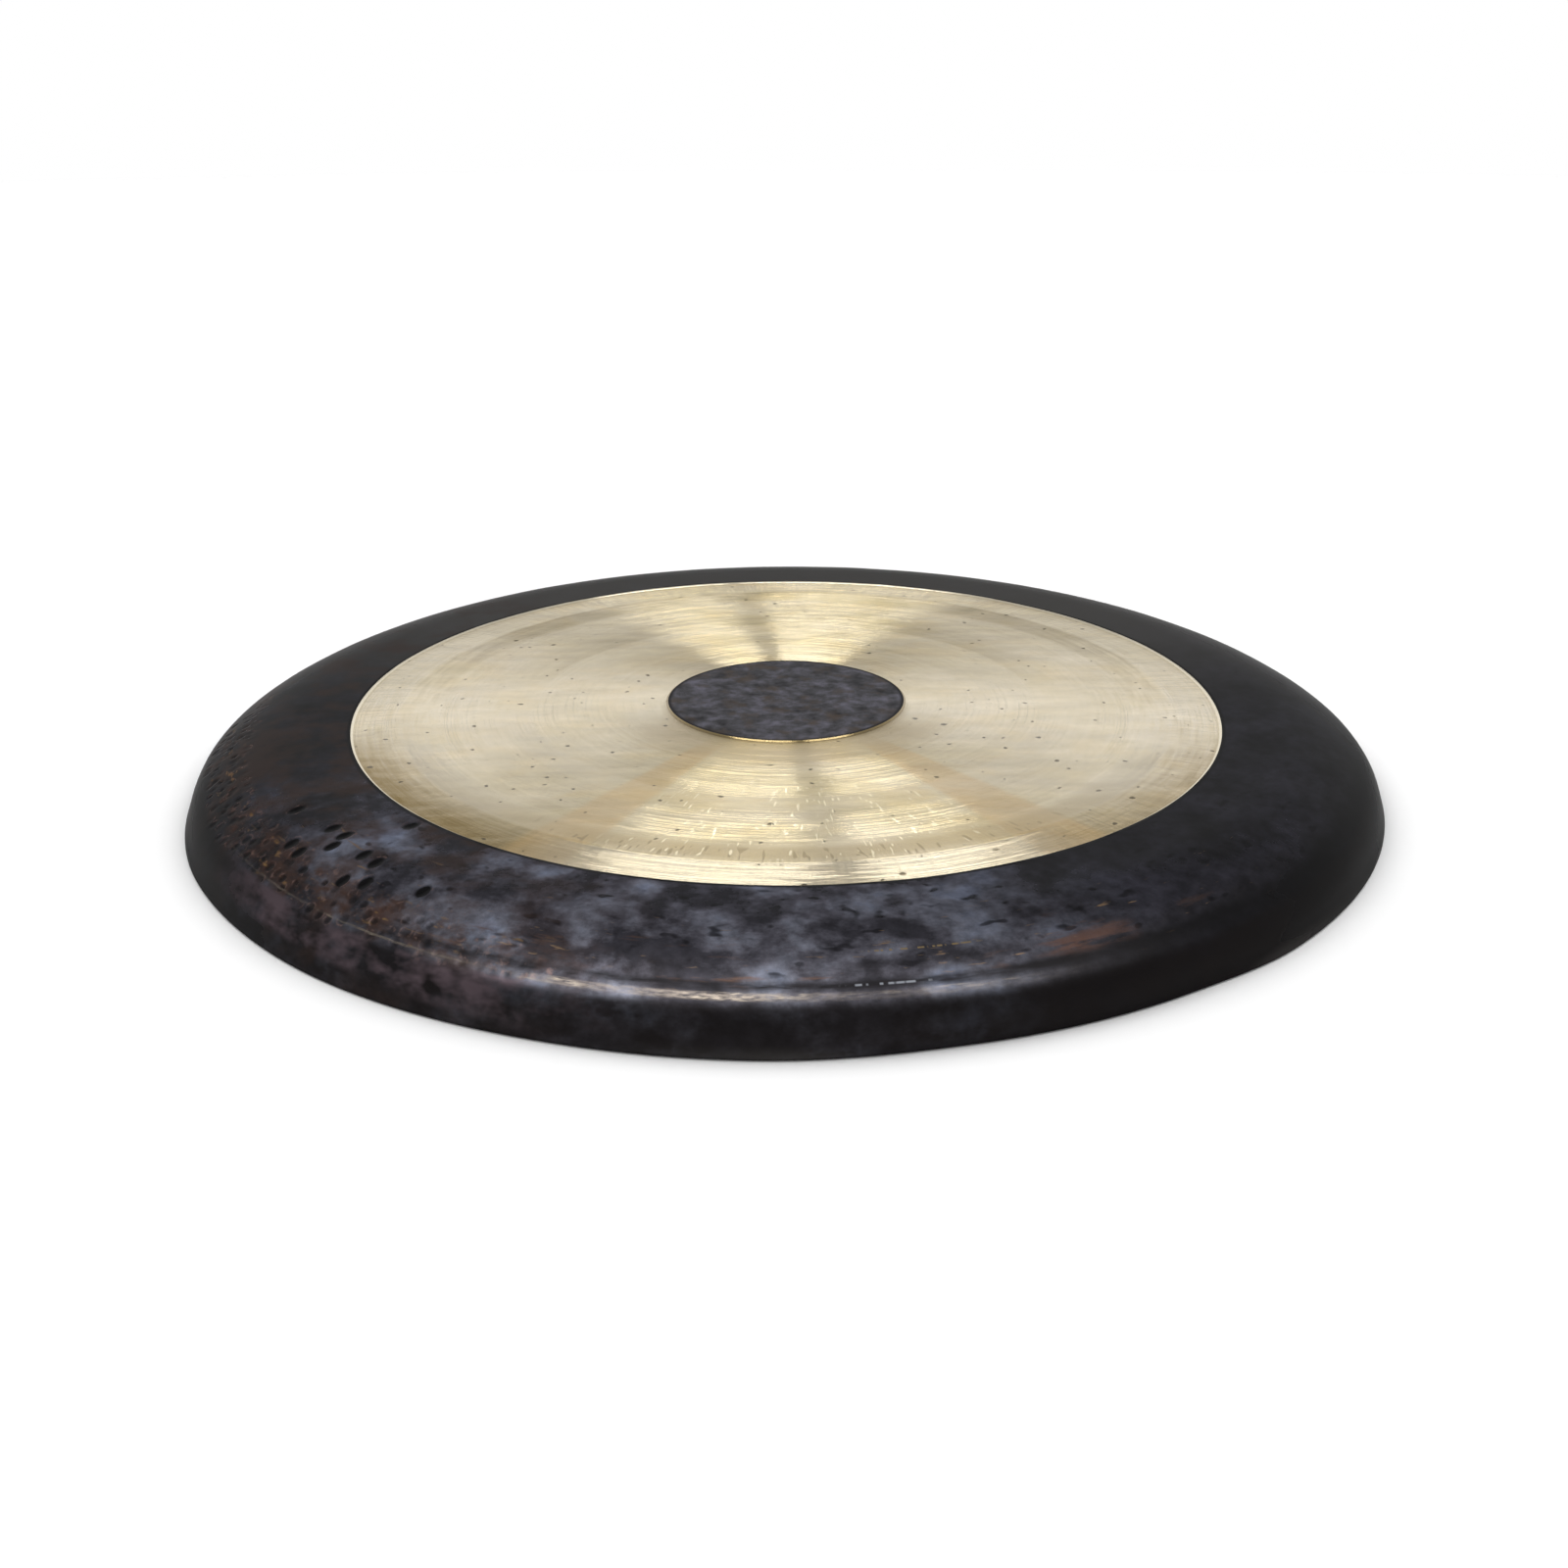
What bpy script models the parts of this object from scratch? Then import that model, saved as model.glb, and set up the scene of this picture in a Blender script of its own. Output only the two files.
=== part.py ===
"""Chau gong, about 80 cm across: one disc of hammered bronze whose rim is turned back.

It lies face up on the open edge of its rim. The middle of the face and the rim keep the dark skin
of the forging fire, and the wide ring between them is scraped back to bright bronze on a lathe.
Units are metres, +Z is up, and the origin is on the floor under the middle of the face.
"""

import math

import bpy

# Plan sizes of the disc, as radii from its middle
RIM_RADIUS = 0.400
FACE_RADIUS = 0.327
SCRAPED_OUTER_RADIUS = 0.294
SCRAPED_INNER_RADIUS = 0.0816

# Side view of the turned rim, from its open edge up to the face
WALL_HEIGHT = 0.010
WALL_FLARE = math.radians(18)
SHOULDER_RADIUS = 0.030
BAND_SLOPE = math.radians(34)

# Bronze left by the hammer and the scraper
FACE_THICKNESS = 0.0032
RIM_THICKNESS = 0.0042
SCRAPE_DEPTH = 0.0004
SCRAPE_BEVEL = 0.0006
WAVE_HEIGHT = 0.0008
WAVE_COUNT = 4
EDGE_ROUNDING = 0.0012

# Two holes drilled through the rim wall for the hanging cord
CORD_HOLE_DIAMETER = 0.009
CORD_HOLE_SPACING = 0.220
CORD_HOLE_MARGIN = 0.008

# How finely the round shapes are divided
DISC_STEPS = 88
HOLE_STEPS = 28
POINTS_PER_WAVE = 4
BAND_POINTS = 5
SHOULDER_POINTS = 6
EDGE_POINTS = 2


def remove_all_objects():
    for old in list(bpy.data.objects):
        bpy.data.objects.remove(old, do_unlink=True)


def new_collection(name):
    collection = bpy.data.collections.new(name)
    bpy.context.scene.collection.children.link(collection)
    return collection


def metal(name, color, roughness, metallic):
    material = bpy.data.materials.new(name)
    material.use_nodes = True
    shader = material.node_tree.nodes["Principled BSDF"]
    shader.inputs["Base Color"].default_value = (*color, 1.0)
    shader.inputs["Roughness"].default_value = roughness
    shader.inputs["Metallic"].default_value = metallic
    material.diffuse_color = (*color, 1.0)
    return material


def wall_foot_radius():
    """Where the flared wall would meet the floor if the rim's edge weren't rounded."""
    return RIM_RADIUS + EDGE_ROUNDING * ((1 + math.sin(WALL_FLARE)) / math.cos(WALL_FLARE) - 1)


def shoulder_centre():
    """Middle of the shoulder's rounding, which is tangent to the top of the flared wall."""
    wall_top_radius = wall_foot_radius() - WALL_HEIGHT * math.tan(WALL_FLARE)
    radius = wall_top_radius - SHOULDER_RADIUS * math.cos(WALL_FLARE)
    height = WALL_HEIGHT - SHOULDER_RADIUS * math.sin(WALL_FLARE)
    return radius, height


def band_curve():
    """Centre height and radius of the arc that falls from the flat face to the shoulder."""
    centre_r, centre_z = shoulder_centre()
    end_r = centre_r + SHOULDER_RADIUS * math.sin(BAND_SLOPE)
    end_z = centre_z + SHOULDER_RADIUS * math.cos(BAND_SLOPE)
    curve_radius = (end_r - FACE_RADIUS) / math.sin(BAND_SLOPE)
    return end_z - curve_radius * math.cos(BAND_SLOPE), curve_radius


def face_height():
    centre_z, curve_radius = band_curve()
    return centre_z + curve_radius


def thickness_at(radius):
    """The face is beaten thinner than the rim, and the metal thickens across the band."""
    share = (radius - FACE_RADIUS) / (RIM_RADIUS - FACE_RADIUS)
    share = min(max(share, 0.0), 1.0)
    return FACE_THICKNESS + (RIM_THICKNESS - FACE_THICKNESS) * share


def rim_curve():
    """Outer side from the edge of the flat face to the top of the wall: (r, z, slope)."""
    centre_z, curve_radius = band_curve()
    points = []
    for i in range(1, BAND_POINTS + 1):
        slope = BAND_SLOPE * i / BAND_POINTS
        r = FACE_RADIUS + curve_radius * math.sin(slope)
        points.append((r, centre_z + curve_radius * math.cos(slope), slope))
    centre_r, centre_z = shoulder_centre()
    last = math.pi / 2 - WALL_FLARE
    for i in range(1, SHOULDER_POINTS + 1):
        slope = BAND_SLOPE + (last - BAND_SLOPE) * i / SHOULDER_POINTS
        r = centre_r + SHOULDER_RADIUS * math.sin(slope)
        points.append((r, centre_z + SHOULDER_RADIUS * math.cos(slope), slope))
    return points


def scraped_surface():
    """Shallow rings that the scraper leaves between the dark middle and the dark rim."""
    top = face_height()
    start = SCRAPED_INNER_RADIUS + SCRAPE_BEVEL
    width = SCRAPED_OUTER_RADIUS - SCRAPED_INNER_RADIUS - 2 * SCRAPE_BEVEL
    count = WAVE_COUNT * POINTS_PER_WAVE
    points = []
    for i in range(count + 1):
        phase = 2 * math.pi * WAVE_COUNT * i / count
        dip = SCRAPE_DEPTH + WAVE_HEIGHT * (1 - math.cos(phase)) / 2
        points.append((start + width * i / count, top - dip))
    return points


def edge_arc(centre, start, stop):
    """Points of one rounded corner of the rim's edge, between two angles from +X."""
    r, z = centre
    angles = [start + (stop - start) * i / EDGE_POINTS for i in range(EDGE_POINTS + 1)]
    return [(r + EDGE_ROUNDING * math.cos(a), z + EDGE_ROUNDING * math.sin(a)) for a in angles]


def wall_offset(r, z, slope):
    """The point of the hollow side that lies straight under a point of the outer side."""
    depth = thickness_at(r)
    return r - depth * math.sin(slope), z - depth * math.cos(slope)


def rim_edge():
    """Flat foot of the rim, between a rounded outer corner and a rounded inner one."""
    outer_r = RIM_RADIUS - EDGE_ROUNDING
    inner_r = wall_foot_radius() - RIM_THICKNESS / math.cos(WALL_FLARE)
    inner_r += EDGE_ROUNDING * (1 - math.sin(WALL_FLARE)) / math.cos(WALL_FLARE)
    outer = edge_arc((outer_r, EDGE_ROUNDING), WALL_FLARE, -math.pi / 2)
    inner = edge_arc((inner_r, EDGE_ROUNDING), -math.pi / 2, -math.pi + WALL_FLARE)
    return outer + inner


def gong_section():
    """Half section of the whole shell, down its outer side and back along the hollow side."""
    top = face_height()
    middle = [(0.0, top), (SCRAPED_INNER_RADIUS / 2, top), (SCRAPED_INNER_RADIUS, top)]
    border = [(SCRAPED_OUTER_RADIUS, top), (FACE_RADIUS, top)]
    rim = rim_curve()
    outer_rim = [(r, z) for r, z, slope in rim]
    hollow_rim = [wall_offset(*point) for point in reversed(rim)]
    under = top - FACE_THICKNESS
    hollow_face = [(FACE_RADIUS * share, under) for share in (1.0, 0.7, 0.35, 0.0)]
    return middle + scraped_surface() + border + outer_rim + rim_edge() + hollow_rim + hollow_face


def turned_mesh(name, section):
    """A closed mesh turned round the Z axis from its half section."""
    profile = bpy.data.meshes.new(name + "_section")
    edges = [(i, i + 1) for i in range(len(section) - 1)]
    profile.from_pydata([(r, 0.0, z) for r, z in section], edges, [])
    holder = bpy.data.objects.new(name + "_section", profile)
    bpy.context.scene.collection.objects.link(holder)
    turn = holder.modifiers.new("Turn", "SCREW")
    turn.axis = "Z"
    turn.angle = 2 * math.pi
    turn.steps = DISC_STEPS
    turn.render_steps = DISC_STEPS
    turn.use_merge_vertices = True
    turn.merge_threshold = 0.00005
    evaluated = holder.evaluated_get(bpy.context.evaluated_depsgraph_get())
    mesh = bpy.data.meshes.new_from_object(evaluated)
    mesh.name = name
    bpy.data.objects.remove(holder, do_unlink=True)
    bpy.data.meshes.remove(profile)
    return mesh


def finish_surfaces(mesh):
    """Dark forging skin everywhere but on the scraped ring of the struck face."""
    mesh.materials.append(metal("fire_blackened_bronze", (0.035, 0.036, 0.043), 0.45, 0.6))
    mesh.materials.append(metal("scraped_bronze", (0.62, 0.52, 0.33), 0.32, 1.0))
    for face in mesh.polygons:
        radius = math.hypot(face.center.x, face.center.y)
        on_ring = SCRAPED_INNER_RADIUS < radius < SCRAPED_OUTER_RADIUS
        face.material_index = 1 if on_ring and face.normal.z > 0 else 0
    mesh.shade_smooth()
    mesh.set_sharp_from_angle(angle=math.radians(32))


def add_shell(collection):
    """The bronze disc, one piece from the middle of its face to the edge of its rim."""
    mesh = turned_mesh("gong_shell", gong_section())
    finish_surfaces(mesh)
    shell = bpy.data.objects.new("gong_shell", mesh)
    collection.objects.link(shell)
    return shell


def add_cord_hole_cutter(side, collection):
    """A drill's path through the rear wall of the rim; side is -1 or 1 across the disc."""
    height = CORD_HOLE_MARGIN + CORD_HOLE_DIAMETER / 2
    wall_radius = wall_foot_radius() - height * math.tan(WALL_FLARE) - RIM_THICKNESS / 2
    turn = side * math.asin(CORD_HOLE_SPACING / 2 / wall_radius)
    bpy.ops.mesh.primitive_cylinder_add(
        vertices=HOLE_STEPS,
        radius=CORD_HOLE_DIAMETER / 2,
        depth=RIM_THICKNESS * 6,
        location=(wall_radius * math.sin(turn), wall_radius * math.cos(turn), height),
        rotation=(math.pi / 2, 0.0, -turn),
    )
    cutter = bpy.context.object
    cutter.name = "cord_hole_cutter_left" if side < 0 else "cord_hole_cutter_right"
    for owner in list(cutter.users_collection):
        owner.objects.unlink(cutter)
    collection.objects.link(cutter)
    cutter.hide_render = True
    cutter.display_type = "WIRE"
    return cutter


def cut(body, cutter):
    hole = body.modifiers.new(cutter.name, "BOOLEAN")
    hole.operation = "DIFFERENCE"
    hole.solver = "EXACT"
    hole.object = cutter


def build_gong():
    remove_all_objects()
    parts = new_collection("chau_gong")
    cutters = new_collection("cutters")
    shell = add_shell(parts)
    for side in (-1, 1):
        cut(shell, add_cord_hole_cutter(side, cutters))


build_gong()
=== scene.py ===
"""Chau gong lying face up on the edge of its turned rim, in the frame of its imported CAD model.

The gong is one disc of hammered bronze. This script turns a finer copy of it, works the hammer's and
the scraper's marks into its surface, gives each zone its finish, and sets it on a white floor.
Units are metres, +Z is up, and the origin is on the floor under the middle of the face.
"""

import math
import random

import bmesh
import bpy
from mathutils import Matrix, Vector, kdtree, noise


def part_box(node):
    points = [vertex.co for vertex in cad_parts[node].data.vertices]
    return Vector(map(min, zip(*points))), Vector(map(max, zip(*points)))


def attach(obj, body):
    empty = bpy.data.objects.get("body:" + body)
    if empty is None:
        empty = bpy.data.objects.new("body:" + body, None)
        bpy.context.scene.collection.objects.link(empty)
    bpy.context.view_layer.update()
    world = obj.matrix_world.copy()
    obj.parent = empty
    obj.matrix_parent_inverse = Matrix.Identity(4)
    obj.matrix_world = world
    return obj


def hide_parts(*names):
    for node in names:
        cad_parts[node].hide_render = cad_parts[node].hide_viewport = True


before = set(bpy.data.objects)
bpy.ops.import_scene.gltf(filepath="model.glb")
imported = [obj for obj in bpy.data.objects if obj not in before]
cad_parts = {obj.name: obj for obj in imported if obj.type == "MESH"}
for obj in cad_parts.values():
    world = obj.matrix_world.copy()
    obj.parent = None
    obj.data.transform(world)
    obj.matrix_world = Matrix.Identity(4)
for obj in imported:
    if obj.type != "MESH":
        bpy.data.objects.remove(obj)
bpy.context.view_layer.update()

# The shell: a bronze disc beaten from one plate. Its rim is hammered back round a former, so the
# face runs over a sloping band and a round shoulder into a short wall that flares to the floor.
# The ring between the dark middle and the dark rim is scraped on a lathe, in four bands.
rim_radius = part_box("gong_shell")[1].x
face_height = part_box("gong_shell")[1].z

FACE_RADIUS = 0.327
WALL_HEIGHT = 0.010
WALL_FLARE = math.radians(18)
SHOULDER_RADIUS = 0.030
BAND_SLOPE = math.radians(34)
FACE_THICKNESS = 0.0032
RIM_THICKNESS = 0.0042
EDGE_ROUNDING = 0.0012

SCRAPED_INNER_RADIUS = 0.0816
SCRAPED_OUTER_RADIUS = 0.294
# Radius, depth below the face, outward tilt of the grooves and how far they lean either way
SCRAPER_PASSES = (
    (0.0816, 0.0, -0.45, 0.55),
    (0.0826, 0.0011, -0.40, 0.55),
    (0.1060, 0.0005, -0.36, 0.65),
    (0.1420, 0.0003, -0.12, 1.0),
    (0.1725, 0.0009, -0.10, 1.0),
    (0.1750, 0.0008, -0.42, 0.35),
    (0.1920, 0.0004, -0.34, 0.5),
    (0.2120, 0.0006, -0.10, 1.0),
    (0.2370, 0.0010, -0.10, 1.0),
    (0.2430, 0.0011, -0.45, 0.3),
    (0.2620, 0.0004, -0.45, 0.26),
    (0.2655, 0.0003, 0.20, 0.9),
    (0.2928, 0.0010, 0.20, 0.9),
    (0.2940, 0.0, 0.20, 0.9),
)

# How much less the grooves lean at the left and right, so that they don't flare under long lamps
SIDE_EASE = 0.30

# How finely the surface is divided: steps round the disc, and spacings away from its middle
TURNING_STEPS = 300
RIM_CUTS = 2
DISC_SPACING = 0.009
SCRAPED_SPACING = 0.004
BAND_SPACING = 0.0025
SHOULDER_SPACING = 0.0019
HOLLOW_SPACING = 0.009
EDGE_STEPS = 3

# The wall's own points stop at this height, just above the rounding of its open edge
WALL_STOP = EDGE_ROUNDING * 1.4

# Points closer together than this are one point
SAME_POINT = 0.00001


def spread(start, stop, spacing):
    """Numbers from start up to, but not including, stop, about one spacing apart."""
    count = max(1, round(abs(stop - start) / spacing))
    return [start + (stop - start) * i / count for i in range(count)]


def on_passes(radius, column):
    """A value of the scraper's passes at a radius: their depth, tilt or lean."""
    for near, far in zip(SCRAPER_PASSES, SCRAPER_PASSES[1:]):
        if near[0] <= radius <= far[0]:
            share = (radius - near[0]) / (far[0] - near[0])
            return near[column] + (far[column] - near[column]) * share
    return 0.0


foot_radius = rim_radius + EDGE_ROUNDING * ((1 + math.sin(WALL_FLARE)) / math.cos(WALL_FLARE) - 1)
shoulder_r = foot_radius - WALL_HEIGHT * math.tan(WALL_FLARE) - SHOULDER_RADIUS * math.cos(WALL_FLARE)
shoulder_z = WALL_HEIGHT - SHOULDER_RADIUS * math.sin(WALL_FLARE)
band_end_r = shoulder_r + SHOULDER_RADIUS * math.sin(BAND_SLOPE)
band_radius = (band_end_r - FACE_RADIUS) / math.sin(BAND_SLOPE)
band_z = face_height - band_radius


def rim_arc(centre_r, centre_z, radius, start, stop, spacing):
    """An arc of the rim's outer side as (r, z, slope), where slope is its fall from level."""
    slopes = spread(start, stop, spacing / radius)
    return [(centre_r + radius * math.sin(s), centre_z + radius * math.cos(s), s) for s in slopes]


wall_slope = math.pi / 2 - WALL_FLARE
outer_rim = rim_arc(FACE_RADIUS, band_z, band_radius, 0.0, BAND_SLOPE, BAND_SPACING)
outer_rim += rim_arc(shoulder_r, shoulder_z, SHOULDER_RADIUS, BAND_SLOPE, wall_slope, SHOULDER_SPACING)
outer_rim += [
    (foot_radius - z * math.tan(WALL_FLARE), z, wall_slope)
    for z in spread(WALL_HEIGHT, WALL_STOP, BAND_SPACING)
]

struck_side = [(r, face_height) for r in spread(0.0, SCRAPED_INNER_RADIUS, DISC_SPACING)]
scraped_radii = [SCRAPED_INNER_RADIUS]
for near, far in zip(SCRAPER_PASSES, SCRAPER_PASSES[1:]):
    scraped_radii += spread(near[0], far[0], SCRAPED_SPACING)[1:] + [far[0]]
struck_side += [(r, face_height - on_passes(r, 1)) for r in scraped_radii]
struck_side += [(r, face_height) for r in spread(SCRAPED_OUTER_RADIUS, FACE_RADIUS, BAND_SPACING)[1:]]
struck_side += [(r, z) for r, z, slope in outer_rim]


def edge_arc(centre_r, start, stop):
    """A rounded corner of the rim's open edge, between two angles from the outward direction."""
    turns = [start + (stop - start) * i / EDGE_STEPS for i in range(EDGE_STEPS + 1)]
    return [
        (centre_r + EDGE_ROUNDING * math.cos(a), EDGE_ROUNDING + EDGE_ROUNDING * math.sin(a))
        for a in turns
    ]


inner_edge_r = foot_radius - RIM_THICKNESS / math.cos(WALL_FLARE)
inner_edge_r += EDGE_ROUNDING * (1 - math.sin(WALL_FLARE)) / math.cos(WALL_FLARE)
struck_side += edge_arc(rim_radius - EDGE_ROUNDING, WALL_FLARE, -math.pi / 2)
hollow_side = struck_side[-1:] + edge_arc(inner_edge_r, -math.pi / 2, -math.pi + WALL_FLARE)


def under(r, z, slope):
    """The point of the hollow side across the metal from a point of the outer side."""
    share = min(max((r - FACE_RADIUS) / (rim_radius - FACE_RADIUS), 0.0), 1.0)
    depth = FACE_THICKNESS + (RIM_THICKNESS - FACE_THICKNESS) * share
    return r - depth * math.sin(slope), z - depth * math.cos(slope)


hollow_rim = rim_arc(FACE_RADIUS, band_z, band_radius, 0.0, BAND_SLOPE, HOLLOW_SPACING)
hollow_rim += rim_arc(
    shoulder_r, shoulder_z, SHOULDER_RADIUS, BAND_SLOPE, wall_slope, HOLLOW_SPACING / 2
)
hollow_rim += [(foot_radius - WALL_HEIGHT * math.tan(WALL_FLARE), WALL_HEIGHT, wall_slope)]
hollow_side += [under(*point) for point in reversed(hollow_rim)]
hollow_side += [(r, face_height - FACE_THICKNESS) for r in spread(FACE_RADIUS, 0.0, HOLLOW_SPACING)[1:]]
hollow_side += [(0.0, face_height - FACE_THICKNESS)]

bm = bmesh.new()


def turn(section):
    """Turns a half section into a surface of revolution, and gives back its faces."""
    known = set(bm.faces)
    points = [bm.verts.new((r, 0.0, z)) for r, z in section]
    lines = [bm.edges.new(pair) for pair in zip(points, points[1:])]
    bmesh.ops.spin(
        bm,
        geom=points + lines,
        axis=(0, 0, 1),
        cent=(0, 0, 0),
        angle=2 * math.pi,
        steps=TURNING_STEPS,
        use_merge=True,
    )
    return [face for face in bm.faces if face not in known]


SCRAPED_RING, DARK_MIDDLE, DARK_RIM, HOLLOW = range(4)
for face in turn(struck_side):
    radius = face.calc_center_median().xy.length
    if radius < SCRAPED_INNER_RADIUS:
        face.material_index = DARK_MIDDLE
    else:
        face.material_index = SCRAPED_RING if radius < SCRAPED_OUTER_RADIUS else DARK_RIM
for face in turn(hollow_side):
    face.material_index = HOLLOW
bmesh.ops.remove_doubles(bm, verts=bm.verts, dist=SAME_POINT)
bmesh.ops.recalc_face_normals(bm, faces=bm.faces)

turned_radius = bm.verts.layers.float.new("turned_radius")
dents = bm.verts.layers.float.new("dents")
groove_tilt = bm.verts.layers.float.new("groove_tilt")
groove_lean = bm.verts.layers.float.new("groove_lean")
for vert in bm.verts:
    vert[turned_radius] = vert.co.xy.length
    sideways = abs(vert.co.x) / max(vert[turned_radius], SAME_POINT)
    vert[groove_tilt] = on_passes(vert[turned_radius], 2)
    vert[groove_lean] = on_passes(vert[turned_radius], 3) * (1 - SIDE_EASE * sideways ** 4)


def around(edge):
    """True for an edge that runs round the disc and not across it."""
    first, last = edge.verts
    return abs(first[turned_radius] - last[turned_radius]) < SAME_POINT and first.co.z == last.co.z


rim_edges = {
    edge
    for face in bm.faces
    if face.material_index == DARK_RIM
    for edge in face.edges
    if around(edge)
}
bmesh.ops.subdivide_edges(bm, edges=list(rim_edges), cuts=RIM_CUTS, use_grid_fill=True)
for vert in bm.verts:
    if vert[turned_radius] > SAME_POINT:
        vert.co.xy *= vert[turned_radius] / vert.co.xy.length

# The hammer's marks, worked into the turned surface. The plate keeps broad shallow facets on its
# rim and soft waves in its face. Small oval dents stand in groups on the band, and rows of peen
# marks follow the shoulder where the rim was beaten over.
FACET_DEPTH = 0.00035
FACET_WIDTH = 0.036
FACET_LENGTH = 0.050
FACE_WAVE_DEPTH = 0.0004
FACE_WAVE_WIDTH = 0.045
HOLLOW_DEPTH = 0.0004
HOLLOW_WIDTH = 0.022

# The facets take over from the waves across this width of the rim, and die away above its foot
FACETS_GROW = 0.014
FOOT_HEIGHT = 0.0025
FOOT_FADE = 0.006
HOLLOW_FOOT_HEIGHT = 0.004

# Dents, as azimuth in degrees and radius
DENT_RADIUS = 0.0052
DENT_STRETCH = 1.5
DENT_DEPTH = 0.0010
DENT_DARKNESS = 1.0
DENTS = (
    (-57.1, 0.345), (-50.4, 0.339), (-48.1, 0.339), (-47.3, 0.349), (-51.5, 0.362), (-49.5, 0.3635),
    (-43.2, 0.344), (-41.0, 0.3455), (-41.8, 0.3645), (-39.5, 0.360), (-45.3, 0.3045), (-33.5, 0.352),
)

# Rows of peen marks, as radius and strength
PEEN_ROWS = ((0.3620, 0.5), (0.3700, 1.0), (0.3775, 1.0), (0.3840, 1.0))
PEEN_PITCH = 0.0092
PEEN_RADIUS = 0.0046
PEEN_DEPTH = 0.0007
PEEN_DARKNESS = 0.62
PEEN_SCATTER = 0.35
PEEN_STRAY = 0.0025
FAINTEST_PEEN = 0.12
PEENED_MIDDLE = -58
PEENED_HALF_WIDTH = 44

# Where the mesh is finer for these marks, between two azimuths and two radii
FINE_SECTORS = ((-102, -14, 0.3570, 0.3880), (-60, -31, 0.3330, 0.3570))


def azimuth_of(place):
    """Degrees round the disc from its front, positive towards +X."""
    return math.degrees(math.atan2(place.x, -place.y))


def rim_point(azimuth, radius):
    """A point of the rim's outer side at an azimuth and a radius."""
    centre_r, centre_z, curve = FACE_RADIUS, band_z, band_radius
    if radius > band_end_r:
        centre_r, centre_z, curve = shoulder_r, shoulder_z, SHOULDER_RADIUS
    slope = math.asin(min(max((radius - centre_r) / curve, 0.0), 1.0))
    turned = math.radians(azimuth)
    height = centre_z + curve * math.cos(slope)
    return Vector((radius * math.sin(turned), -radius * math.cos(turned), height))


def facet(place, width, length):
    """A share from 0 to 1 that swells and sinks from one hammered facet to the next."""
    radius = place.xy.length
    outward = place.xy.normalized() * (FACE_RADIUS / width)
    return 0.5 + 0.5 * noise.noise(Vector((outward.x, outward.y, radius / length)))


for first, last, near, far in FINE_SECTORS:
    fine_edges = {
        edge
        for face in bm.faces
        if face.material_index == DARK_RIM
        and near < face.verts[0][turned_radius] < far
        and first < azimuth_of(face.verts[0].co) < last
        for edge in face.edges
    }
    bmesh.ops.subdivide_edges(bm, edges=list(fine_edges), cuts=1, use_grid_fill=True)

bm.normal_update()
hollow_verts = {vert for face in bm.faces if face.material_index == HOLLOW for vert in face.verts}
sunk = {}
for vert in bm.verts:
    if vert in hollow_verts:
        above_foot = vert.co.z > HOLLOW_FOOT_HEIGHT
        sunk[vert] = HOLLOW_DEPTH * facet(vert.co, HOLLOW_WIDTH, HOLLOW_WIDTH) * above_foot
        continue
    radius = vert[turned_radius]
    on_rim = min(max((radius - SCRAPED_OUTER_RADIUS) / FACETS_GROW, 0.0), 1.0)
    rim_facet = facet(vert.co, FACET_WIDTH, FACET_LENGTH)
    wave = 0.5 + 0.5 * noise.noise(vert.co / FACE_WAVE_WIDTH)
    above_foot = min(max((vert.co.z - FOOT_HEIGHT) / FOOT_FADE, 0.0), 1.0)
    sunk[vert] = FACET_DEPTH * rim_facet * on_rim * above_foot + FACE_WAVE_DEPTH * wave * (1 - on_rim)

random.seed(7)
marks = [(rim_point(*place), DENT_RADIUS, DENT_STRETCH, DENT_DEPTH, DENT_DARKNESS) for place in DENTS]
for row, (row_radius, row_strength) in enumerate(PEEN_ROWS):
    count = round(2 * math.pi * row_radius / PEEN_PITCH)
    for i in range(count):
        step = i + 0.5 * (row % 2) + random.uniform(-PEEN_SCATTER, PEEN_SCATTER)
        azimuth = 360 * step / count - 180
        radius = row_radius + random.uniform(-PEEN_STRAY, PEEN_STRAY)
        fade = 1 - min(abs(azimuth - PEENED_MIDDLE) / PEENED_HALF_WIDTH, 1.0)
        strength = min(1.0, 2.0 * fade) * random.uniform(0.3, 1.0) * row_strength
        if strength > FAINTEST_PEEN:
            size = PEEN_RADIUS * random.uniform(0.65, 1.1)
            depth, darkness = PEEN_DEPTH * strength, PEEN_DARKNESS * strength
            marks.append((rim_point(azimuth, radius), size, 1.0, depth, darkness))

bm.verts.ensure_lookup_table()
finder = kdtree.KDTree(len(bm.verts))
for i, vert in enumerate(bm.verts):
    finder.insert(vert.co, i)
finder.balance()
for middle, size, stretch, depth, darkness in marks:
    outward = Vector((middle.x, middle.y, 0.0)).normalized()
    for place, i, distance in finder.find_range(middle, size * stretch):
        vert = bm.verts[i]
        along = (place - middle).dot(outward)
        reach = math.sqrt(max(distance ** 2 - along ** 2, 0.0) + (along / stretch) ** 2) / size
        if reach < 1 and vert not in hollow_verts:
            bowl = (1 - reach ** 2) ** 2
            sunk[vert] += depth * bowl
            vert[dents] = max(vert[dents], darkness * min(1.0, 1.8 * bowl))
for vert, depth in sunk.items():
    vert.co -= vert.normal * depth

# The rim is beaten by eye, so its open edge isn't quite round: it stands out at the front left and
# in at the front right. Each is the azimuths where it starts, is full, begins to fade and stops.
TRUE_HEIGHT = 0.030
OUT_OF_ROUND = 0.004
STANDS_OUT = (-84, -60, -44, -14)
STANDS_IN = (-2, 14, 32, 44)


def swell(azimuth, start, full, last, stop):
    """A share that rises from 0 to 1 and falls to 0 again round the disc."""
    rise = (azimuth - start) / (full - start)
    fall = (stop - azimuth) / (stop - last)
    share = min(max(min(rise, fall), 0.0), 1.0)
    return share ** 2 * (3 - 2 * share)


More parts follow.
